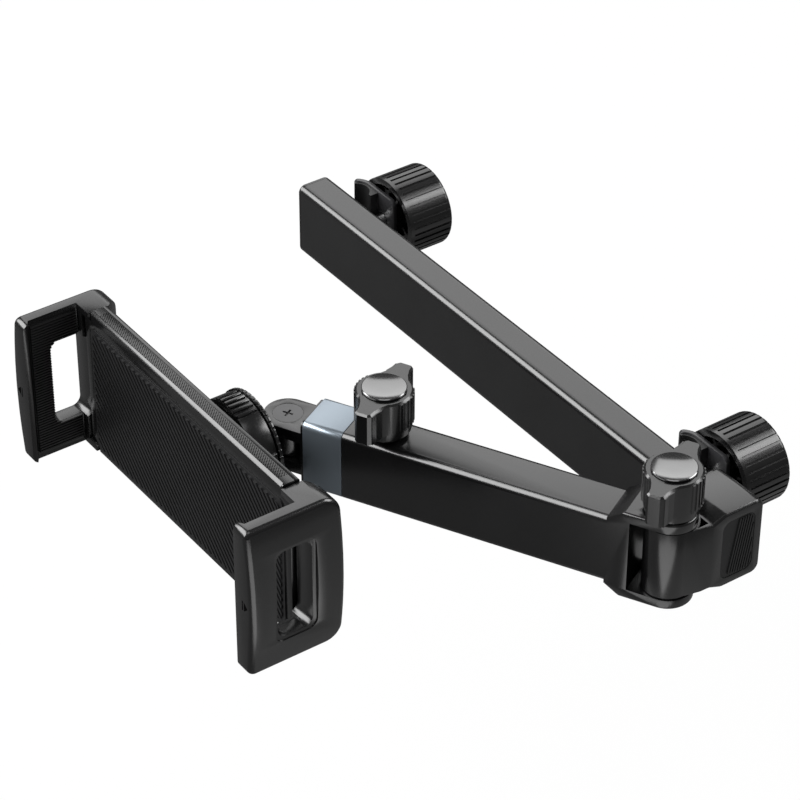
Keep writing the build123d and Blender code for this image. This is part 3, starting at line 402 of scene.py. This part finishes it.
def dishedCap(node, place):
    look = knobCap
    low = wingKnob["height"] - look["sink"]
    piece = startRound(node + "Shaped", look["neck"], low, low + look["neckHeight"], wingKnob["sides"])
    pickFaces(piece, lambda middle, normal: normal.z > facing)
    widen = look["radius"] / look["neck"]
    bpy.ops.mesh.extrude_region_move(TRANSFORM_OT_translate={"value": (0, 0, look["step"] * mm)})
    bpy.ops.transform.resize(value=(widen, widen, 1), center_override=(0, 0, 0))
    bpy.ops.mesh.extrude_region_move(TRANSFORM_OT_translate={"value": (0, 0, look["wall"] * mm)})
    bpy.ops.mesh.inset(thickness=look["lip"] * mm, depth=look["lipRise"] * mm)
    for step, fall in look["dish"]:
        bpy.ops.mesh.inset(thickness=step * mm, depth=-fall * mm)
    standIn(piece, node, place, wingKnob["turn"])
    smoothFaces(piece, wingKnob["smooth"])


# the narrow strip that catches the light on the frame's upper front edge
# roundInset is how deep the middle of that rounded edge lies in from the frame's front and top
edgeStrip = dict(length=108, width=1.5, thickness=0.4, lean=45, proud=0.08, edge=0.1, roundInset=0.264)


def frameStrip():
    look = edgeStrip
    bpy.ops.object.select_all(action="DESELECT")
    sink = look["roundInset"] + (look["thickness"] / 2 - look["proud"]) * sin(radians(look["lean"]))
    place = (frameMiddle.x, frameLow.y + sink, frameHigh.z - sink)
    bpy.ops.mesh.primitive_cube_add(size=mm, rotation=(radians(look["lean"]), 0, 0),
                                    location=[v * mm for v in place])
    piece = bpy.context.object
    piece.name = "frameEdgeStrip"
    piece.scale = (look["length"], look["width"], look["thickness"])
    bpy.ops.object.transform_apply(location=True, rotation=True, scale=True)
    bevelEdges(piece, look["edge"])
    smoothFaces(piece)
    paint(piece, "satinBlack")
    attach(piece, bodyOfNode["front_frame"])


frameStrip()
print("frame strip laid")
for name in ("hinge_knob", "lock_knob"):
    low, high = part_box(name + "_cap")
    knobPlace = ((low[0] + high[0]) / 2, (low[1] + high[1]) / 2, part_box(name)[0][2])
    shapedKnob(name, knobPlace)
    dishedCap(name + "_cap", knobPlace)
print("wing knobs shaped")


# floor, backdrop light and lamps
stageLook = dict(floorZ=-120, floorSize=8000, whiteShare=0.97, darkCloth=0.04, whiteCloth=0.8, fill=0.09,
                 mirrored=0.055)


def backdropSeen(start):
    # white for the camera, and a dim share of it in what gloss and glass show, so black plastic stays black
    camera = start.make("LightPath", output="Is Camera Ray")
    glossy = start.make("LightPath", output="Is Glossy Ray")
    through = start.make("LightPath", output="Is Transmission Ray")
    return camera + stageLook["mirrored"] * (glossy + through)


bpy.ops.mesh.primitive_plane_add(size=stageLook["floorSize"] * mm, location=(0, 0, stageLook["floorZ"] * mm))
floor = bpy.context.object
floor.name = "floor"
floorMaterial, start = newMaterial("floorWhite")
seen = backdropSeen(start)
tone = stageLook["darkCloth"] + (stageLook["whiteCloth"] - stageLook["darkCloth"]) * seen
grey = start.make("CombineColor", None, {0: tone, 1: tone, 2: tone})
cloth = start.make("BsdfDiffuse", None, {"Color": grey})
glow = start.make("Emission", None, {"Strength": 1.0})
closeMaterial(start, start.make("MixShader", None, {0: seen * stageLook["whiteShare"], 1: cloth, 2: glow}))
floor.data.materials.append(floorMaterial)

world = bpy.data.worlds.new("studio")
scene.world = world
world.use_nodes = True
world.node_tree.nodes.clear()
start = Signal(world.node_tree, None)
seen = backdropSeen(start)
level = stageLook["fill"] + (1 - stageLook["fill"]) * seen
sky = start.make("Background", None, {"Color": (1, 1, 1, 1), "Strength": level})
start.make("OutputWorld", None, {"Surface": sky})

# lamps that aim at one point, with sizes and distances in metres
lamps = {
    "backLeft": dict(direction=(-0.656, 0.467, 0.593), distance=1.3, size=(1.1, 0.9), radiance=1.7),
    "frontTop": dict(direction=(-0.40, -0.66, 0.55), distance=1.2, size=(1.5, 0.8), radiance=7.0),
    "overhead": dict(direction=(0.3, -0.2, 1.0), distance=1.4, size=(0.7, 0.7), radiance=1.5),
    "backRight": dict(direction=(0.32, 0.74, 0.60), distance=1.3, size=(0.7, 0.7), radiance=6.0),
}
lampTarget = Vector((0.1, -0.06, 0.0))
for name, lamp in lamps.items():
    direction = Vector(lamp["direction"]).normalized()
    place = lampTarget + direction * lamp["distance"]
    aim = direction.to_track_quat("Z", "Y").to_euler()
    bpy.ops.object.light_add(type="AREA", location=place, rotation=aim)
    light = bpy.context.object
    light.name = name
    light.data.shape = "RECTANGLE"
    light.data.size, light.data.size_y = lamp["size"]
    light.data.energy = lamp["radiance"] * lamp["size"][0] * lamp["size"][1] * pi
# cards that lie on the floor, out of the camera's sight, and shine up on what stands upright
cards = {
    "floorCardFront": dict(place=(370, -220, -119), size=260, radiance=1.6),
    "floorCardRight": dict(place=(290, 40, -118), size=300, radiance=0.18),
}
for name, card in cards.items():
    bpy.ops.object.light_add(type="AREA", location=[v * mm for v in card["place"]], rotation=(pi, 0, 0))
    light = bpy.context.object
    light.name = name
    light.data.size = card["size"] * mm
    light.data.energy = card["radiance"] * (card["size"] * mm) ** 2 * pi
    light.visible_camera = False
print("stage lit")
